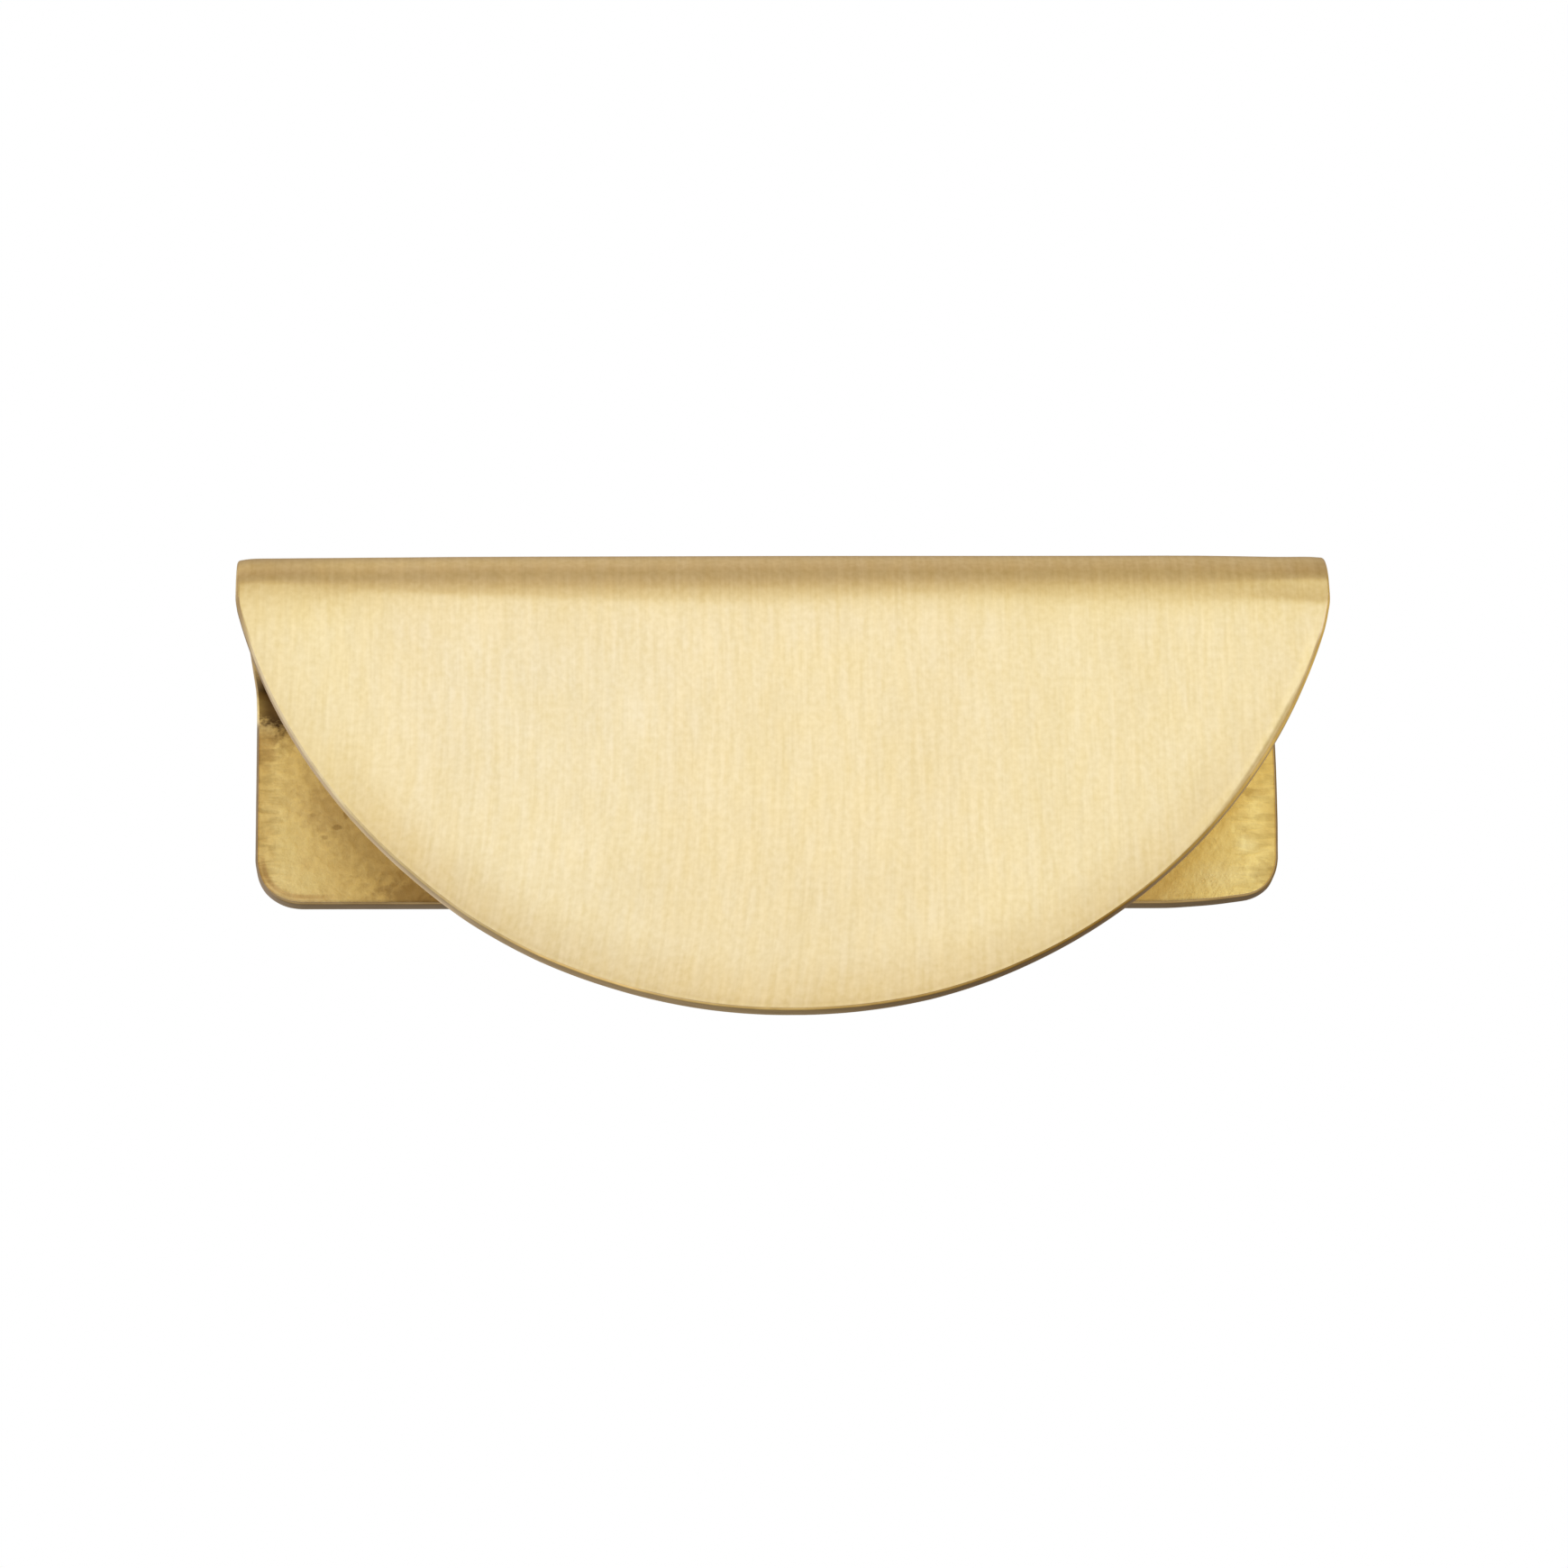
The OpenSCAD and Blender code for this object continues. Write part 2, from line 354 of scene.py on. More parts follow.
def face(ring, hole_r):
    """Triangles of one face of the sheet: its ring, its hole rings, then the points inside them."""
    loops = [ring]
    t = np.arange(HOLE_N) * 2 * math.pi / HOLE_N
    for cx, cs in HOLES:
        loops.append(np.column_stack([cx + hole_r * np.cos(t), cs + hole_r * np.sin(t)]))
    pts = GRID[inside(GRID, ring)]
    clear = np.where((pts[:, 1] > Z_LOW - Z_FRONT) & (pts[:, 1] < S1), 0.22, 0.42)
    pts = pts[gap_to(pts, ring) > clear]
    for (cx, cs) in HOLES:
        pts = pts[np.hypot(pts[:, 0] - cx, pts[:, 1] - cs) > hole_r + 0.3]
    co = np.vstack(loops + [pts])
    edges, at = [], 0
    for lp in loops:
        n = len(lp)
        edges += [(at + i, at + (i + 1) % n) for i in range(n)]
        at += n
    out = delaunay_2d_cdt([Vector(p) for p in co], edges, [], 0, 1e-7)
    new_co, tris, orig = out[0], out[2], out[3]
    if len(new_co) != len(co):
        raise RuntimeError("the outline crosses itself")
    back = [o[0] for o in orig]
    tri = np.array([[back[i] for i in f] for f in tris])
    mid = co[tri].mean(1)
    keep = inside(mid, ring)
    for (cx, cs) in HOLES:
        keep &= ~inside(mid, loops[1 + HOLES.index((cx, cs))])
    tri = tri[keep]
    a, b, c = co[tri[:, 0]], co[tri[:, 1]], co[tri[:, 2]]
    area = (b[:, 0] - a[:, 0]) * (c[:, 1] - a[:, 1]) - (b[:, 1] - a[:, 1]) * (c[:, 0] - a[:, 0])
    tri[area < 0] = tri[area < 0][:, ::-1]
    return pts, tri


flat_xy, flat_w, faces, face_kind = [], [], [], []


def add(points, w):
    start = sum(len(p) for p in flat_xy)
    flat_xy.append(np.asarray(points, float))
    flat_w.append(np.full(len(points), w) if np.isscalar(w) else w)
    return start


n_loop = len(LOOP)
RINGS = []
for d, w in EDGE:
    on = FLANK * (w < SHEET / 2)
    RINGS.append((LOOP - NORMAL * (d * (1 + 2.0 * on))[:, None], w * (1 + 0.6 * on)))
edge_at = [add(p, w) for p, w in RINGS]
turn = np.arange(HOLE_N) * 2 * math.pi / HOLE_N
hole_at = []
for cx, cs in HOLES:
    hole_at.append([add(np.column_stack([cx + r * np.cos(turn), cs + r * np.sin(turn)]), w) for r, w in SINK])

for outer, ring_k, sink_k in ((True, 0, 0), (False, len(EDGE) - 1, len(SINK) - 1)):
    pts, tri = face(RINGS[ring_k][0], SINK[sink_k][0])
    at_pts = add(pts, EDGE[ring_k][1])
    index = np.concatenate([
        edge_at[ring_k] + np.arange(n_loop),
        hole_at[0][sink_k] + np.arange(HOLE_N),
        hole_at[1][sink_k] + np.arange(HOLE_N),
        at_pts + np.arange(len(pts)),
    ])
    tri = index[tri]
    # seen from outside, +x to the right and the sheet's length upwards is counter-clockwise on the outer face
    faces += [tuple(f) if outer else tuple(f[::-1]) for f in tri.tolist()]
    face_kind += [0 if outer else 1] * len(tri)

i = np.arange(n_loop)
j = (i + 1) % n_loop
for k in range(len(EDGE) - 1):
    a, b = edge_at[k], edge_at[k + 1]
    faces += np.column_stack([a + j, a + i, b + i, b + j]).tolist()
    kind = 0 if k == 0 else (1 if k == len(EDGE) - 2 else 2)
    face_kind += [kind] * n_loop
i = np.arange(HOLE_N)
j = (i + 1) % HOLE_N
for h in hole_at:
    for k in range(len(SINK) - 1):
        a, b = h[k], h[k + 1]
        faces += np.column_stack([a + i, a + j, b + j, b + i]).tolist()
        face_kind += [0 if k == 0 else (1 if k == len(SINK) - 2 else 3)] * HOLE_N

XS = np.vstack(flat_xy)
W = np.concatenate(flat_w)


def place(xs, w):
    """Folds the flat sheet: (x, s, depth) to the part's frame, in millimetres."""
    x, s = xs[:, 0], xs[:, 1]
    y, z, ny, nz = section(s)
    gy, gz = ground(x, s, y, z)
    t = w / SHEET
    # the hand finish eases both ends of the fold
    left = np.clip((-47.5 - x) / 2.5, 0, 1) ** 3
    right = np.clip((x - 47.0) / 3, 0, 1) ** 3
    high = np.clip((z - 7) / 7, 0, 1) * np.clip((-20 - y) / 12, 0, 1)
    fall = (0.24 * left + 0.12 * right) * high
    return np.column_stack([x, gy + (y - SHEET * ny - gy) * t, gz + (z - SHEET * nz - gz) * t - fall])


CO = place(XS, W) / 1000
mesh = bpy.data.meshes.new("lip_pull_sheet")
mesh.from_pydata(CO.tolist(), [], [tuple(f) for f in faces])
mesh.validate(clean_customdata=False)
mesh.polygons.foreach_set("use_smooth", np.ones(len(mesh.polygons), bool))
mesh.set_sharp_from_angle(angle=math.radians(38))
mesh.polygons.foreach_set("material_index", np.array([min(k, 2) for k in face_kind], np.int32))

# the sheet laid flat, as a UV map in units of 120 mm, and two tables for the finish
uv = mesh.uv_layers.new(name="sheet")
loop_v = np.empty(len(mesh.loops), np.int32)
mesh.loops.foreach_get("vertex_index", loop_v)
S_LOW = LOOP[:, 1].min()
UVS = np.column_stack([(XS[:, 0] + 60) / 120, (XS[:, 1] - S_LOW + 2) / 120])
uv.data.foreach_set("uv", UVS[loop_v].astype(np.float32).ravel())
sheet_xyz = mesh.attributes.new("flat_mm", "FLOAT_VECTOR", "POINT")
sheet_xyz.data.foreach_set("vector", np.column_stack([XS[:, 0], XS[:, 1], W]).astype(np.float32).ravel())
rim = mesh.attributes.new("rim_mm", "FLOAT", "POINT")
gap = gap_to(XS, LOOP)
rim.data.foreach_set("value", gap.astype(np.float32))
mesh.update()

sheet = bpy.data.objects.new("lip_pull_sheet", mesh)
bpy.context.scene.collection.objects.link(sheet)


# ------------------------------------------------------------------ materials
class Nodes:
    """Short calls for building one node tree."""

    def __init__(self, tree):
        self.t = tree

    def new(self, kind, **props):
        n = self.t.nodes.new(kind)
        for k, v in props.items():
            setattr(n, k, v)
        return n

    def link(self, a, b):
        self.t.links.new(a, b)

    def math(self, op, a, b=None, c=None, clamp=False):
        n = self.new("ShaderNodeMath", operation=op, use_clamp=clamp)
        for k, v in enumerate((a, b, c)):
            if v is None:
                continue
            if hasattr(v, "is_output"):
                self.link(v, n.inputs[k])
            else:
                n.inputs[k].default_value = v
        return n.outputs[0]

    def range(self, v, a, b, c=0.0, d=1.0, smooth=True):
        n = self.new("ShaderNodeMapRange", interpolation_type="SMOOTHSTEP" if smooth else "LINEAR")
        self.link(v, n.inputs["Value"])
        for k, x in zip(("From Min", "From Max", "To Min", "To Max"), (a, b, c, d)):
            n.inputs[k].default_value = x
        return n.outputs["Result"]

    def mix(self, f, a, b, blend="MIX"):
        n = self.new("ShaderNodeMix", data_type="RGBA", blend_type=blend)
        for sock, v in ((n.inputs[0], f), (n.inputs[6], a), (n.inputs[7], b)):
            if hasattr(v, "is_output"):
                self.link(v, sock)
            elif isinstance(v, (tuple, list)):
                sock.default_value = (*v, 1.0) if len(v) == 3 else v
            else:
                sock.default_value = v
        return n.outputs[2]

    def noise(self, vec, scale, detail=2.0, rough=0.5, distortion=0.0):
        n = self.new("ShaderNodeTexNoise")
        self.link(vec, n.inputs["Vector"])
        n.inputs["Scale"].default_value = scale
        n.inputs["Detail"].default_value = detail
        n.inputs["Roughness"].default_value = rough
        n.inputs["Distortion"].default_value = distortion
        return n.outputs["Fac"]

    def xyz(self, x, y, z):
        n = self.new("ShaderNodeCombineXYZ")
        for k, v in enumerate((x, y, z)):
            if hasattr(v, "is_output"):
                self.link(v, n.inputs[k])
            else:
                n.inputs[k].default_value = v
        return n.outputs[0]


def metal(name):
    m = bpy.data.materials.new(name)
    m.use_nodes = True
    t = m.node_tree
    t.nodes.clear()
    g = Nodes(t)
    out = g.new("ShaderNodeOutputMaterial")
    p = g.new("ShaderNodeBsdfPrincipled")
    g.link(p.outputs[0], out.inputs["Surface"])
    p.inputs["Metallic"].default_value = 1.0
    a = g.new("ShaderNodeAttribute", attribute_name="flat_mm")
    sep = g.new("ShaderNodeSeparateXYZ")
    g.link(a.outputs["Vector"], sep.inputs[0])
    r = g.new("ShaderNodeAttribute", attribute_name="rim_mm")
    return m, g, p, sep.outputs, r.outputs["Fac"]


BRASS = (0.90, 0.76, 0.475)


def tint(g, col, f, k):
    """Multiplies a colour by k where f is 1."""
    return g.mix(f, col, g.mix(1.0, col, k, "MULTIPLY"))


def brushed():
    m, g, p, (x, s, w), rim = metal("brass_brushed")
    # brush lines run straight along the sheet, and lean by up to 12 degrees towards the lower left
    low_left = g.range(g.math("ADD", g.math("MULTIPLY", x, 0.8), s), -36.0, -72.0, smooth=False)
    bx = g.math("ADD", x, g.math("MULTIPLY", g.math("MULTIPLY", low_left, low_left), 2.2))
    sweep = g.range(s, -10.0, -40.0, 0.0, 1.5, smooth=False)
    sweep = g.math("MULTIPLY", g.math("MULTIPLY", sweep, sweep), g.range(x, 22.0, -6.0))
    bx = g.math("ADD", bx, g.math("MULTIPLY", sweep, 1.25))
    streak = g.noise(g.xyz(g.math("MULTIPLY", bx, 1.65), g.math("MULTIPLY", s, 0.14), 0.0), 1.0, 1.5, 0.4)
    hair = g.noise(g.xyz(g.math("MULTIPLY", bx, 3.3), g.math("MULTIPLY", s, 0.22), 4.0), 1.0, 1.0, 0.5)
    fleck = g.noise(g.xyz(g.math("MULTIPLY", bx, 1.9), g.math("MULTIPLY", s, 1.75), 7.0), 1.0, 1.0, 0.5)
    cloud = g.noise(g.xyz(g.math("MULTIPLY", x, 0.12), g.math("MULTIPLY", s, 0.06), 11.0), 1.0, 2.0, 0.5)
    tone = g.math("ADD", g.math("MULTIPLY", streak, 0.34), g.math("MULTIPLY", fleck, 0.42))
    tone = g.math("ADD", tone, g.math("MULTIPLY", hair, 0.24))
    shade = g.range(tone, 0.36, 0.64, 0.0, 1.0, smooth=False)
    dark = tuple(c * k for c, k in zip(BRASS, (0.937, 0.918, 0.847)))
    light = tuple(c * k for c, k in zip(BRASS, (1.063, 1.082, 1.153)))
    col = g.mix(shade, dark, light)
    # its hue changes a little from one broad brush mark to the next
    hue = g.noise(g.xyz(g.math("MULTIPLY", bx, 0.9), g.math("MULTIPLY", s, 0.22), 17.0), 1.0, 1.5, 0.5)
    col = g.mix(1.0, col, g.mix(g.range(hue, 0.34, 0.66, smooth=False), (1.004, 0.997, 0.969), (0.996, 1.003, 1.028)), "MULTIPLY")
    col = tint(g, col, g.range(cloud, 0.35, 0.65), (0.985, 0.98, 0.97))
    col = tint(g, col, g.range(x, 12.0, 24.0), (1.0, 1.0, 0.955))
    col = tint(g, col, g.range(x, -32.0, -42.0), (1.0, 1.0, 0.945))
    col = tint(g, col, g.math("MULTIPLY", g.range(s, -8.0, -30.0), g.range(x, 26.0, 12.0)), (1.0, 0.985, 0.925))
    # a little cooler left of the middle, a little warmer in the middle
    left_mid = g.math("MULTIPLY", g.range(x, -37.0, -28.0), g.range(x, -9.0, -15.0))
    col = tint(g, col, g.math("MULTIPLY", left_mid, g.range(s, -2.0, -8.0)), (0.995, 1.008, 1.035))
    mid = g.math("MULTIPLY", g.range(x, -9.0, -2.0), g.range(x, 18.0, 9.0))
    col = tint(g, col, g.math("MULTIPLY", mid, g.math("MULTIPLY", g.range(s, -23.0, -18.0), g.range(s, -1.0, -6.0))), (1.0, 0.995, 0.965))
    col = tint(g, col, g.math("MULTIPLY", g.math("MULTIPLY", g.range(s, -23.0, -28.0), g.range(s, -38.0, -34.0)), g.range(x, 18.0, 6.0)), (0.975, 0.975, 0.985))
    # a band along the half-moon's edge is darker and yellower, and a painted highlight leaves its very rim a little
    # brighter
    on_moon = g.range(s, 0.5, -3.0)
    low = g.range(s, 0.5, -22.0, 0.35, 1.0)
    low = g.math("MULTIPLY", low, g.range(x, 46.0, 32.0, 0.5, 1.0))
    low = g.math("MULTIPLY", low, g.range(x, -42.0, -37.5, 0.55, 1.0))
    low = g.math("MULTIPLY", low, g.range(g.math("ABSOLUTE", g.math("ADD", x, 27.0)), 12.0, 7.0, 1.0, 1.06))
    band = g.math("MULTIPLY", g.range(rim, 6.0, 0.6), g.math("MULTIPLY", low, on_moon))
    rim_band_with_painted_light = tint(g, col, band, (0.895, 0.855, 0.785))
    rim_band_with_painted_light = tint(g, rim_band_with_painted_light, g.math("MULTIPLY", g.range(rim, 1.3, 0.3), g.math("MULTIPLY", low, on_moon)), (0.92, 0.90, 0.86))
    # painted shade darkens its upper right flank right along the rim, with a painted highlight as a brighter line
    # inside that
    flank = g.math("MULTIPLY", g.range(x, 33.0, 38.0), g.range(s, -1.5, -6.0))
    rim_band_with_painted_light = tint(g, rim_band_with_painted_light, g.math("MULTIPLY", flank, g.range(rim, 1.5, 0.9)), (1.06, 1.065, 1.05))
    slim = g.math("ADD", g.range(x, 44.0, 35.5, 0.0, 0.36), g.range(x, 45.0, 48.0, 0.03, 0.36))
    flank_rim_shade = g.math("MULTIPLY", flank, g.range(g.math("ADD", rim, slim), 0.86, 0.48))
    rim_band_with_painted_light = g.mix(flank_rim_shade, rim_band_with_painted_light, g.mix(g.range(x, 40.5, 44.5), g.mix(1.0, rim_band_with_painted_light, (0.56, 0.49, 0.39), "MULTIPLY"), g.mix(1.0, rim_band_with_painted_light, (0.62, 0.565, 0.46), "MULTIPLY")))
    # painted highlight: the very rim is brought back towards the face's colour, a little yellower
    line = g.math("MULTIPLY", g.math("MULTIPLY", g.range(rim, 0.60, 0.36), on_moon), 0.25)
    col = g.mix(line, rim_band_with_painted_light, g.mix(1.0, col, (1.0, 0.97, 0.84), "MULTIPLY"))
    # painted shade along the rim at the half-moon's left shoulder
    shoulder = g.math("MULTIPLY", g.math("MULTIPLY", g.range(s, 2.5, 0.5), g.range(s, -5.2, -3.4)), g.range(x, -40.0, -46.0))
    col = tint(g, col, g.math("MULTIPLY", shoulder, g.range(rim, 0.46, 0.28)), (0.70, 0.65, 0.56))
    # the fold's round part is a little yellower, and painted shade darkens both of its ends
    fold = g.math("MULTIPLY", g.range(s, S0 - 0.3, S0 + 0.6), g.range(s, S1 + 2.0, S1))
    col = tint(g, col, fold, (1.0, 0.99, 0.95))
    col = tint(g, col, g.math("MULTIPLY", fold, g.range(x, -39.5, -45.5)), (0.89, 0.865, 0.85))
    under = g.math("MULTIPLY", fold, g.range(s, S0 + 3.6, S0 + 1.4))
    col = tint(g, col, g.math("MULTIPLY", under, g.range(x, 43.5, 48.0)), (0.90, 0.875, 0.83))
    col = tint(g, col, g.math("MULTIPLY", g.range(s, 1.0, 2.5), g.range(x, 48.0, 49.4)), (0.95, 0.945, 0.93))
    g.link(col, p.inputs["Base Color"])
    rough = g.math("ADD", g.range(tone, 0.30, 0.70, 0.342, 0.388, smooth=False), g.math("MULTIPLY", cloud, 0.03))
    g.link(rough, p.inputs["Roughness"])
    p.inputs["Anisotropic"].default_value = 0.6
    tan = g.new("ShaderNodeTangent", direction_type="UV_MAP", uv_map="sheet")
    g.link(tan.outputs[0], p.inputs["Tangent"])
    bump = g.new("ShaderNodeBump")
    bump.inputs["Strength"].default_value = 0.07
    bump.inputs["Distance"].default_value = 0.00005
    g.link(tone, bump.inputs["Height"])
    g.link(bump.outputs[0], p.inputs["Normal"])
    return m


GOLD = (0.98, 0.81, 0.385)


def spot(g, x, z, wob, cx, cz, rx, rz, soft=0.5):
    """A soft ragged patch: 1 in its middle, 0 outside."""
    dx = g.math("DIVIDE", g.math("SUBTRACT", x, cx), rx)
    dz = g.math("DIVIDE", g.math("SUBTRACT", z, cz), rz)
    d = g.math("SQRT", g.math("ADD", g.math("MULTIPLY", dx, dx), g.math("MULTIPLY", dz, dz)))
    return g.range(g.math("ADD", d, wob), 1.0 + soft / 2, 1.0 - soft)


def inner():
    m, g, p, (x, s, w), rim = metal("brass_inner")
    z = g.math("SUBTRACT", S3 + Z_REAR, s)            # height on the back plate
    blotch = g.noise(g.xyz(g.math("MULTIPLY", x, 0.35), g.math("MULTIPLY", s, 0.35), 0.0), 1.0, 4.0, 0.6, 0.3)
    mottle = g.noise(g.xyz(g.math("MULTIPLY", x, 1.1), g.math("MULTIPLY", s, 1.1), 2.0), 1.0, 3.0, 0.55, 0.2)
    stroke = g.noise(g.xyz(g.math("MULTIPLY", x, 0.33), g.math("MULTIPLY", s, 1.5), 5.0), 1.0, 2.5, 0.55, 0.5)
    wob = g.math("MULTIPLY", g.math("SUBTRACT", mottle, 0.5), 1.6)
    on_plate = g.range(s, S3 - 1.0, S3 + 1.0)
    col = g.mix(g.range(s, S2 - 1.0, S2 + 1.0), (0.99, 0.86, 0.54), GOLD)
    col = tint(g, col, g.math("MULTIPLY", g.range(x, 36.0, 42.0), on_plate), (1.02, 1.0, 0.83))
    col = tint(g, col, g.range(blotch, 0.55, 0.35), (0.96, 0.94, 0.92))
    col = tint(g, col, g.math("MULTIPLY", g.range(mottle, 0.57, 0.37), g.range(x, -20.0, 20.0, 1.0, 0.8)), (0.94, 0.925, 0.90))
    col = tint(g, col, g.math("MULTIPLY", g.range(mottle, 0.50, 0.62), g.range(x, -20.0, 20.0, 1.0, 0.0)), (1.03, 1.03, 1.02))
    # short cross strokes near both ends of the plate
    ax = g.math("ABSOLUTE", x)
    end = g.math("MULTIPLY", g.range(g.math("ADD", ax, g.range(x, 0, 10, 0.0, 2.2)), 45.5, 49.0), on_plate)
    stroked = g.math("MULTIPLY", g.math("MULTIPLY", g.range(stroke, 0.58, 0.38), end), g.range(x, 0, 10, 1.0, 0.7))
    col = tint(g, col, stroked, (0.80, 0.78, 0.74))
    # the plate is browner at its ends
    col = tint(g, col, g.math("MULTIPLY", g.range(ax, 47.6, 49.7), on_plate), (0.85, 0.79, 0.67))
    # painted shade: a brown line along the rims of its sides, and round the lower left corner a broader darkened band
    # that leaves a lighter line along the rim
    side_line = g.math("MULTIPLY", g.math("MULTIPLY", g.range(ax, 47.5, 48.5), on_plate), g.range(rim, 0.42, 0.24))
    col = tint(g, col, side_line, (0.74, 0.64, 0.50))
    corner = g.math("MULTIPLY", g.math("MULTIPLY", g.range(x, -41.0, -45.5), g.range(z, -3.0, -5.5)), on_plate)
    col = tint(g, col, g.math("MULTIPLY", corner, g.range(rim, 1.05, 0.80)), (0.93, 0.88, 0.90))
    hem = g.math("MULTIPLY", g.range(rim, 1.15, 0.80), g.range(rim, 0.42, 0.66))
    col = tint(g, col, g.math("MULTIPLY", corner, hem), (0.80, 0.74, 0.68))
    foot = g.math("MULTIPLY", g.range(z, -7.4, -8.2), g.range(x, 44.0, 41.0))
    col = tint(g, col, g.math("MULTIPLY", foot, g.range(rim, 0.52, 0.20)), (0.72, 0.72, 0.78))
    # dark spots on the plate; the two beside the half-moon's lower left flank, at x -32.4 and -34.6, are its painted
    # shadow
    for cx, cz, rx, rz, k in (
        (-43.6, 0.8, 2.6, 2.2, (0.96, 0.94, 0.93)),
        (-43.3, -2.1, 0.35, 0.25, (0.80, 0.76, 0.72)),
        (-42.1, -1.1, 0.50, 0.28, (0.76, 0.72, 0.68)),
        (-41.2, 0.3, 0.30, 0.50, (0.72, 0.67, 0.62)),
        (-44.6, 0.2, 0.45, 0.22, (0.86, 0.83, 0.80)),
        (-32.4, -8.8, 2.0, 1.3, (0.80, 0.75, 0.70)),
        (-34.6, -8.4, 4.0, 2.6, (0.78, 0.74, 0.74)),
        (-49.4, 7.4, 1.5, 2.2, (0.88, 0.83, 0.80)),
        (48.2, -5.9, 1.3, 1.1, (0.80, 0.77, 0.74)),
        (47.5, 2.2, 1.6, 0.45, (0.84, 0.80, 0.74)),
    ):
        col = tint(g, col, g.math("MULTIPLY", spot(g, x, z, wob, cx, cz, rx, rz), on_plate), k)
    # and more shaded close beside the half-moon's right flank
    beside = g.math("ADD", g.math("MULTIPLY", x, 0.735), g.math("MULTIPLY", z, -0.678))
    near = g.math("MULTIPLY", g.range(g.math("ADD", beside, g.math("MULTIPLY", wob, 0.3)), 34.4, 33.0), g.range(x, 30.0, 34.0))
    col = tint(g, col, g.math("MULTIPLY", near, on_plate), (0.92, 0.87, 0.76))
    # painted shade where the half-moon covers the plate: browner beside its left flank
    flank = g.math("ADD", g.math("MULTIPLY", x, -0.735), g.math("MULTIPLY", z, -0.678))
    flank = g.math("ADD", flank, g.math("MULTIPLY", g.math("MAXIMUM", z, 0.0), 0.55))
    left_flank_shade = g.math("MULTIPLY", g.range(g.math("ADD", flank, g.math("MULTIPLY", wob, 1.4)), 35.0, 30.8), g.range(x, -30.0, -34.0))
    col = tint(g, col, g.math("MULTIPLY", left_flank_shade, on_plate), (0.75, 0.72, 0.74))
    polish = None
    waver = g.math("MULTIPLY", wob, 0.3)
    for cx, cz, rx, rz, k in ((46.6, -3.2, 1.1, 0.9, 0.9), (43.8, -6.3, 3.0, 1.4, 0.65), (-46.9, -3.4, 1.4, 4.2, 0.6), (-44.6, -6.6, 1.8, 1.2, 0.65)):
        pale = g.math("MULTIPLY", g.math("MULTIPLY", spot(g, x, z, waver, cx, cz, rx, rz, 0.9), on_plate), k)
        col = g.mix(pale, col, (1.0, 0.855, 0.40))
        polish = pale if polish is None else g.math("MAXIMUM", polish, pale)
    # painted shade in the tight inner corner of the rear fold, under the lip, with a ragged edge
    shade_raggedness = g.noise(g.xyz(g.math("MULTIPLY", x, 2.6), g.math("MULTIPLY", s, 2.6), 8.0), 1.0, 2.0, 0.5)
    edge = g.math("ADD", s, g.math("MULTIPLY", g.math("SUBTRACT", mottle, 0.5), 3.0))
    edge = g.math("ADD", edge, g.math("MULTIPLY", g.math("SUBTRACT", shade_raggedness, 0.5), 2.6))
    edge = g.math("ADD", edge, g.range(ax, 47.8, 49.8, 0.0, 1.2))
    begin = g.range(edge, S2 - 7.0, S2 + 0.5)
    # it is thickest at the sheet's two ends
    begin = g.math("MULTIPLY", begin, g.range(ax, 26.0, 42.0, 0.35, 1.0))
    fold_corner_shade_fringe = g.math("MULTIPLY", begin, g.range(edge, S3 + 2.6, S3 - 0.6))
    col = tint(g, col, fold_corner_shade_fringe, (0.66, 0.60, 0.58))
    fold_corner_shade = g.math("MULTIPLY", begin, g.range(edge, S3 + 0.5, S3 - 1.3))
    fold_corner_shade = g.math("MULTIPLY", fold_corner_shade, g.range(ax, 49.95, 48.6, 0.72, 1.0))
    col = tint(g, col, fold_corner_shade, (0.15, 0.12, 0.12))
    g.link(col, p.inputs["Base Color"])
    rough = g.math("ADD", g.range(blotch, 0.3, 0.7, 0.43, 0.35), g.math("MULTIPLY", mottle, 0.06))
    rough = g.math("SUBTRACT", rough, g.math("MULTIPLY", g.math("MULTIPLY", g.range(x, 36.0, 42.0), on_plate), 0.07))
    rough = g.math("SUBTRACT", rough, g.math("MULTIPLY", polish, 0.09))
    g.link(rough, p.inputs["Roughness"])
    bump = g.new("ShaderNodeBump")
    bump.inputs["Strength"].default_value = 0.35
    bump.inputs["Distance"].default_value = 0.0002
    g.link(g.math("ADD", g.math("MULTIPLY", mottle, 0.4), g.math("MULTIPLY", g.math("MULTIPLY", stroke, end), 0.6)), bump.inputs["Height"])
    g.link(bump.outputs[0], p.inputs["Normal"])
    return m


EDGE_SHADE = [  # the half-moon's cut edge, with painted shade: place across the width, then its colour
    (-50, (0.78, 0.64, 0.44)), (-44, (0.76, 0.63, 0.44)), (-39, (0.90, 0.77, 0.53)), (-35, (1.00, 0.88, 0.64)),
    (-31, (1.00, 0.86, 0.64)), (-28, (0.62, 0.50, 0.32)), (-22, (0.58, 0.45, 0.26)), (-13, (0.63, 0.50, 0.32)),
    (0, (0.64, 0.50, 0.29)), (10, (0.50, 0.36, 0.175)), (20, (0.36, 0.24, 0.095)), (29, (0.40, 0.26, 0.09)),
    (34.5, (0.80, 0.61, 0.32)), (39, (0.97, 0.78, 0.46)), (43, (1.00, 0.82, 0.52)), (47, (1.00, 0.83, 0.56)),
]


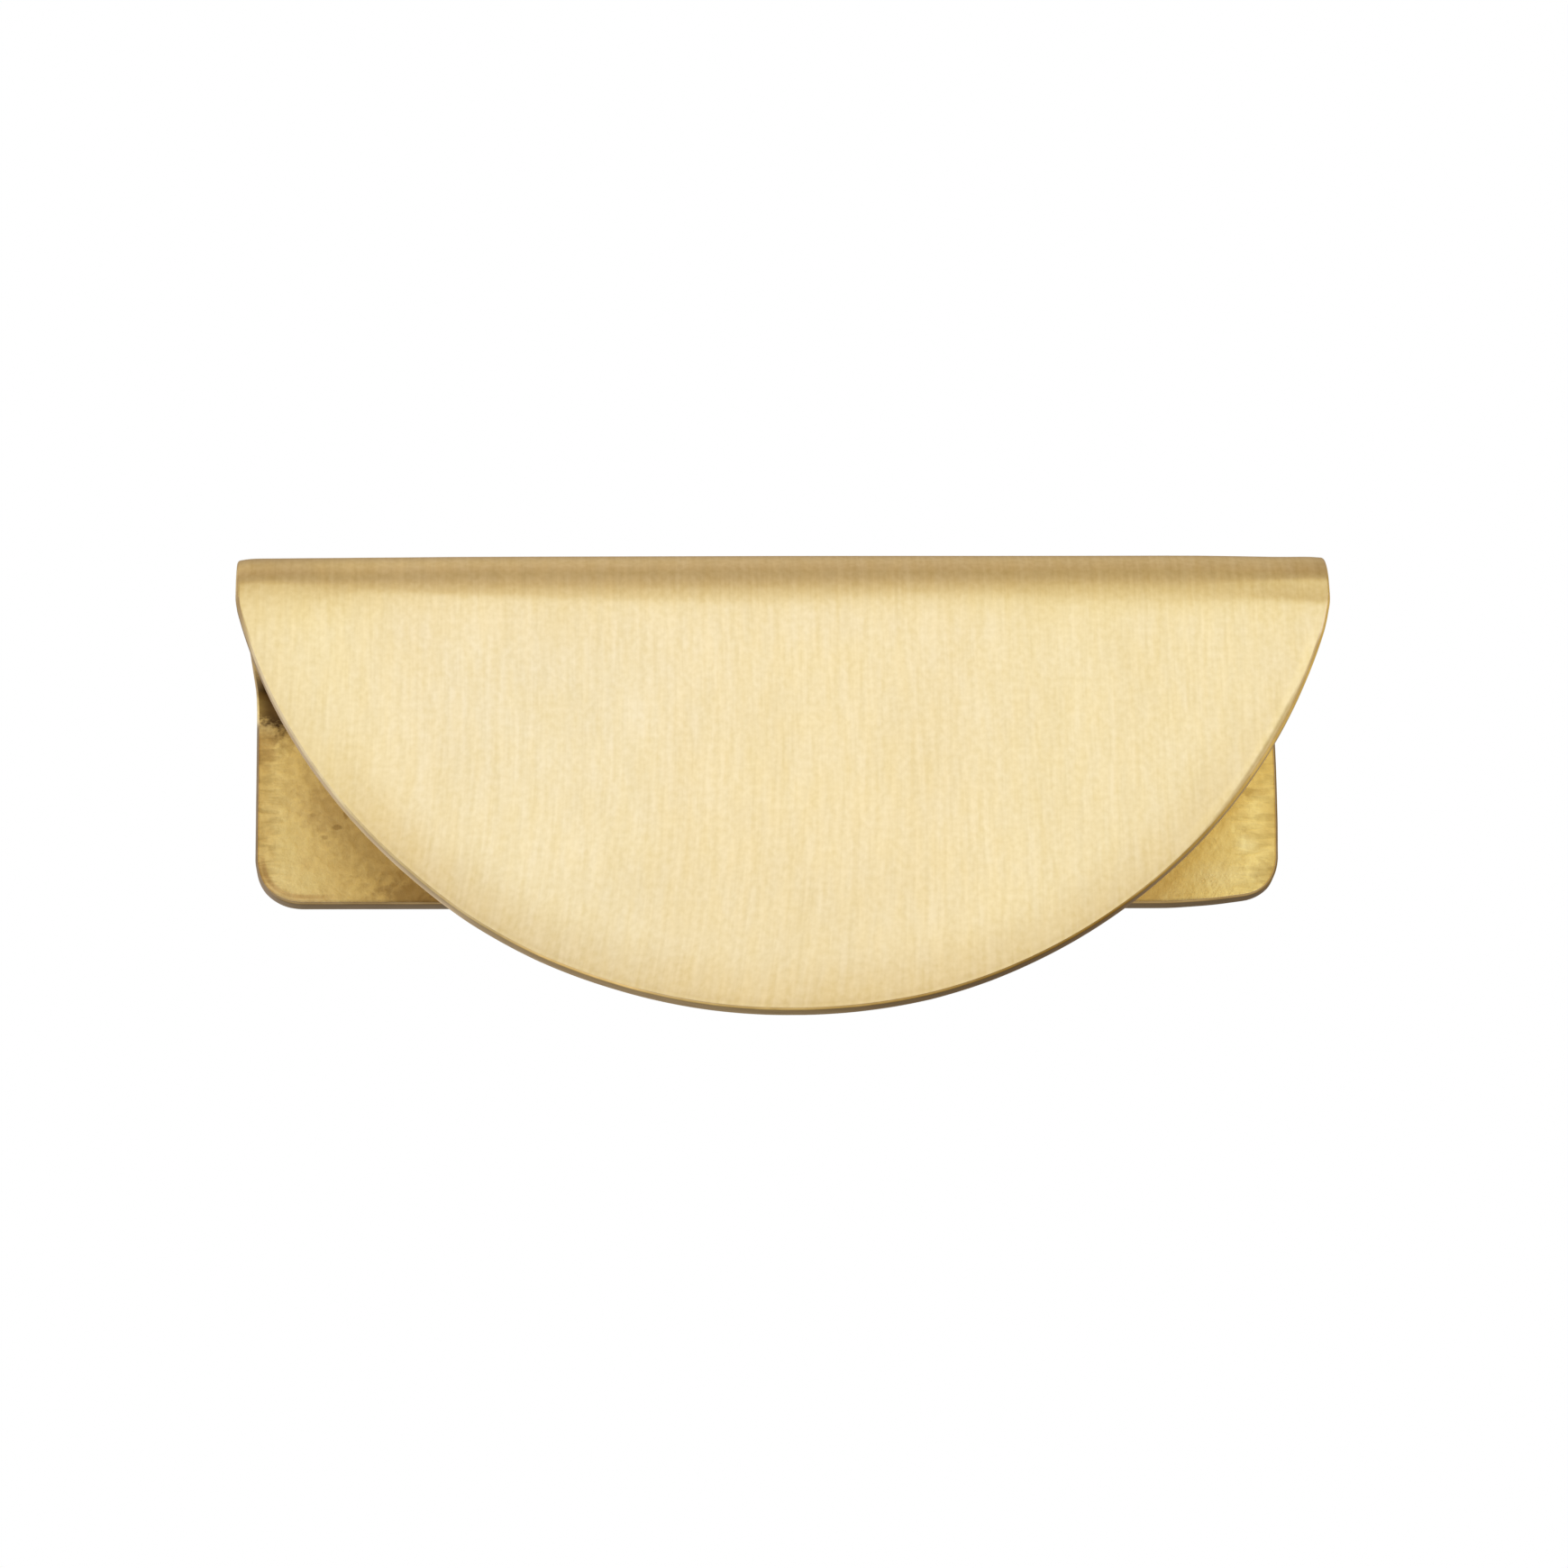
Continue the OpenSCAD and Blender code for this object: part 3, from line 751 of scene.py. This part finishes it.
def cut_edge():
    m, g, p, (x, s, w), rim = metal("brass_edge")
    along = g.noise(g.xyz(g.math("MULTIPLY", x, 0.5), g.math("MULTIPLY", s, 0.5), g.math("MULTIPLY", w, 2.0)), 1.0, 3.0, 0.6)
    lines = g.noise(g.xyz(g.math("MULTIPLY", x, 0.15), g.math("MULTIPLY", s, 0.15), g.math("MULTIPLY", w, 9.0)), 1.0, 3.0, 0.6)
    # painted shade, browner: least on the left flank, most at the half-moon's lower right and round the plate
    edge_shade_ramp = g.new("ShaderNodeValToRGB")
    g.link(g.math("ADD", g.math("DIVIDE", x, 100.0), 0.5), edge_shade_ramp.inputs[0])
    els = edge_shade_ramp.color_ramp.elements
    while len(els) > 1:
        els.remove(els[-1])
    for k, (at, c) in enumerate(EDGE_SHADE):
        e = els[0] if k == 0 else els.new(at / 100 + 0.5)
        e.position = at / 100 + 0.5
        e.color = (*c, 1)
    col = g.mix(g.range(s, -1.0, 1.0), edge_shade_ramp.outputs[0], (0.80, 0.64, 0.38))
    col = g.mix(g.range(s, S3 - 1.5, S3), col, g.mix(g.range(x, -20.0, 0.0), (0.30, 0.225, 0.155), (0.36, 0.265, 0.165)))
    # painted shade: the front half is darker than the back half
    on_moon = g.range(s, 1.0, -1.0)
    shade_span = g.math("MULTIPLY", g.range(x, -38.0, -32.0), g.range(x, 42.0, 37.0))
    col = tint(g, col, g.math("MULTIPLY", g.range(w, 1.9, 1.0), g.math("MULTIPLY", on_moon, shade_span)), (0.80, 0.78, 0.74))
    col = tint(g, col, g.math("MULTIPLY", on_moon, g.range(x, -48.2, -49.0)), (0.80, 0.75, 0.66))
    col = tint(g, col, g.math("MULTIPLY", g.range(s, -3.6, -1.4), g.math("MULTIPLY", g.range(s, 3.0, 1.5), g.range(x, -48.2, -49.0))), (0.80, 0.76, 0.74))
    col = tint(g, col, g.math("MULTIPLY", g.range(w, 0.25, 0.6), g.math("MULTIPLY", on_moon, g.range(x, -46.6, -47.8))), (0.60, 0.56, 0.54))
    # painted shade on the right flank's front rounding, continuing the face's
    flank = g.math("MULTIPLY", g.range(x, 33.0, 36.0), g.range(s, -3.0, -5.5))
    shift = g.math("ADD", rim, g.range(x, 43.0, 38.0, 0.0, 0.09))
    col = tint(g, col, g.math("MULTIPLY", g.range(shift, 0.10, 0.26), flank), (0.64, 0.58, 0.43))
    # more painted shade on the front rounding along the left flank
    left = g.math("MULTIPLY", g.range(x, -28.0, -31.0), g.range(x, -42.0, -37.0, 0.45, 1.0))
    col = tint(g, col, g.math("MULTIPLY", g.range(w, 0.7, 0.1), g.math("MULTIPLY", on_moon, left)), (0.80, 0.76, 0.64))
    col = tint(g, col, g.math("MULTIPLY", g.range(w, 1.6, 0.6), g.math("MULTIPLY", on_moon, g.range(g.math("ABSOLUTE", g.math("ADD", x, 35.0)), 6.0, 3.0))), (0.82, 0.79, 0.76))
    # painted highlight along the front of the edge near x -19
    front_highlight = g.math("MULTIPLY", g.range(w, 0.22, 0.06), g.math("MULTIPLY", on_moon, g.range(g.math("ABSOLUTE", g.math("ADD", x, 19.0)), 8.0, 4.0)))
    col = tint(g, col, front_highlight, (1.45, 1.45, 1.45))
    col = tint(g, col, g.range(along, 0.62, 0.38), (0.88, 0.86, 0.82))
    g.link(col, p.inputs["Base Color"])
    rough = g.range(lines, 0.3, 0.7, 0.27, 0.38)
    g.link(rough, p.inputs["Roughness"])
    bump = g.new("ShaderNodeBump")
    bump.inputs["Strength"].default_value = 0.15
    bump.inputs["Distance"].default_value = 0.00005
    g.link(lines, bump.inputs["Height"])
    g.link(bump.outputs[0], p.inputs["Normal"])
    return m


for m in (brushed(), inner(), cut_edge()):
    mesh.materials.append(m)
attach(sheet, "root")
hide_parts("lip_pull")

# ------------------------------------------------------------------ floor, light, camera
# Soft studio light: each row is an angle round the X axis (0 in front, 90 overhead, 180 behind),
# then the light that comes from there on the left and on the right.
LIGHT = [
    (-177, (0.62, 0.52, 0.41), (0.30, 0.23, 0.17)),
    (-165, (0.57, 0.50, 0.38), (0.27, 0.23, 0.17)),
    (-150, (0.50, 0.43, 0.30), (0.26, 0.22, 0.16)),
    (-130, (0.52, 0.44, 0.29), (0.46, 0.39, 0.25)),
    (-100, (0.82, 0.74, 0.48), (0.79, 0.70, 0.45)),
    (-70, (1.10, 1.00, 0.65), (1.14, 1.03, 0.67)),
    (-45, (1.29, 1.14, 0.70), (1.34, 1.19, 0.73)),
    (-25, (1.28, 1.15, 0.73), (1.32, 1.19, 0.75)),
    (-10, (1.10, 1.01, 0.76), (1.10, 1.01, 0.75)),
    (5, (0.98, 0.98, 1.02), (0.74, 0.70, 0.72)),
    (17, (1.17, 1.22, 1.39), (1.12, 1.13, 1.22)),
    (27, (1.03, 0.98, 0.83), (1.19, 1.20, 1.06)),
    (36, (0.68, 0.51, 0.21), (0.80, 0.69, 0.36)),
    (46, (0.51, 0.35, 0.25), (0.55, 0.44, 0.31)),
    (58, (0.44, 0.34, 0.20), (0.44, 0.36, 0.20)),
    (75, (0.61, 0.48, 0.35), (0.46, 0.35, 0.23)),
    (95, (0.84, 0.72, 0.52), (0.42, 0.33, 0.26)),
    (115, (0.58, 0.48, 0.33), (0.53, 0.44, 0.33)),
    (140, (0.40, 0.31, 0.22), (0.38, 0.29, 0.21)),
    (160, (0.36, 0.27, 0.19), (0.33, 0.25, 0.18)),
    (172, (0.60, 0.49, 0.38), (0.30, 0.23, 0.17)),
]
SIDE_LIGHT = ((0.98, 0.98, 0.91), (0.58, 0.45, 0.15))   # from the far left and the far right
LEVEL = 1.45

world = bpy.data.worlds.new("studio")
bpy.context.scene.world = world
world.use_nodes = True
world.node_tree.nodes.clear()
g = Nodes(world.node_tree)
out = g.new("ShaderNodeOutputWorld")
tc = g.new("ShaderNodeTexCoord")
sep = g.new("ShaderNodeSeparateXYZ")
g.link(tc.outputs["Generated"], sep.inputs[0])
ang = g.math("ARCTAN2", sep.outputs[2], g.math("MULTIPLY", sep.outputs[1], -1.0))
fac = g.math("ADD", g.math("DIVIDE", ang, 2 * math.pi), 0.5)


def ramp_of(side):
    n = g.new("ShaderNodeValToRGB")
    g.link(fac, n.inputs[0])
    stops = [(row[0], row[1 + side]) for row in LIGHT]
    stops = [(-180, stops[0][1])] + stops + [(180, stops[0][1])]
    els = n.color_ramp.elements
    while len(els) > 1:
        els.remove(els[-1])
    for k, (deg, c) in enumerate(stops):
        e = els[0] if k == 0 else els.new(min(1.0, deg / 360 + 0.5))
        e.position = min(1.0, deg / 360 + 0.5)
        e.color = (*(v / LEVEL for v in c), 1)
    return n.outputs[0]


across = g.mix(g.range(sep.outputs[0], -0.25, 0.25), ramp_of(0), ramp_of(1))
ends = g.mix(g.range(sep.outputs[0], -0.25, 0.25), *(tuple(v / LEVEL for v in c) for c in SIDE_LIGHT))
sky = g.mix(g.range(g.math("ABSOLUTE", sep.outputs[0]), 0.45, 0.80), across, ends)
lp = g.new("ShaderNodeLightPath")
soft = g.new("ShaderNodeBackground")
soft.inputs[1].default_value = LEVEL * 1.033
g.link(sky, soft.inputs[0])
white = g.new("ShaderNodeBackground")
white.inputs[0].default_value = (1, 1, 1, 1)
mixs = g.new("ShaderNodeMixShader")
g.link(lp.outputs["Is Glossy Ray"], mixs.inputs[0])
g.link(white.outputs[0], mixs.inputs[1])
g.link(soft.outputs[0], mixs.inputs[2])
g.link(mixs.outputs[0], out.inputs[0])

# pale floor, well below the pull, which is fixed at a drawer's height
bpy.ops.mesh.primitive_circle_add(vertices=96, radius=2.4, fill_type="NGON", location=(0, 0, -0.62))
floor = bpy.context.object
floor.name = "floor"
fm = bpy.data.materials.new("floor_pale")
fm.use_nodes = True
fb = fm.node_tree.nodes["Principled BSDF"]
fb.inputs["Base Color"].default_value = (0.82, 0.82, 0.81, 1)
fb.inputs["Roughness"].default_value = 0.8
floor.data.materials.append(fm)
floor.visible_glossy = False

cam_data = bpy.data.cameras.new("camera")
cam_data.sensor_width = 36
cam_data.lens = 36 * 6000 / 1740
cam_data.clip_start, cam_data.clip_end = 0.02, 20
cam = bpy.data.objects.new("camera", cam_data)
bpy.context.scene.collection.objects.link(cam)
right, up, ahead = (Vector(v) for v in (
    (0.998910, -0.043332, -0.017362), (0.003622, -0.298864, 0.954289), (0.046541, 0.953312, 0.298381)))
cam.matrix_world = Matrix((
    (right.x, up.x, -ahead.x, -0.0231467),
    (right.y, up.y, -ahead.y, -0.5044972),
    (right.z, up.z, -ahead.z, -0.1547352),
    (0, 0, 0, 1),
))
scene = bpy.context.scene
scene.camera = cam
scene.view_settings.view_transform = "Standard"
scene.view_settings.look = "None"

bpy.context.view_layer.update()
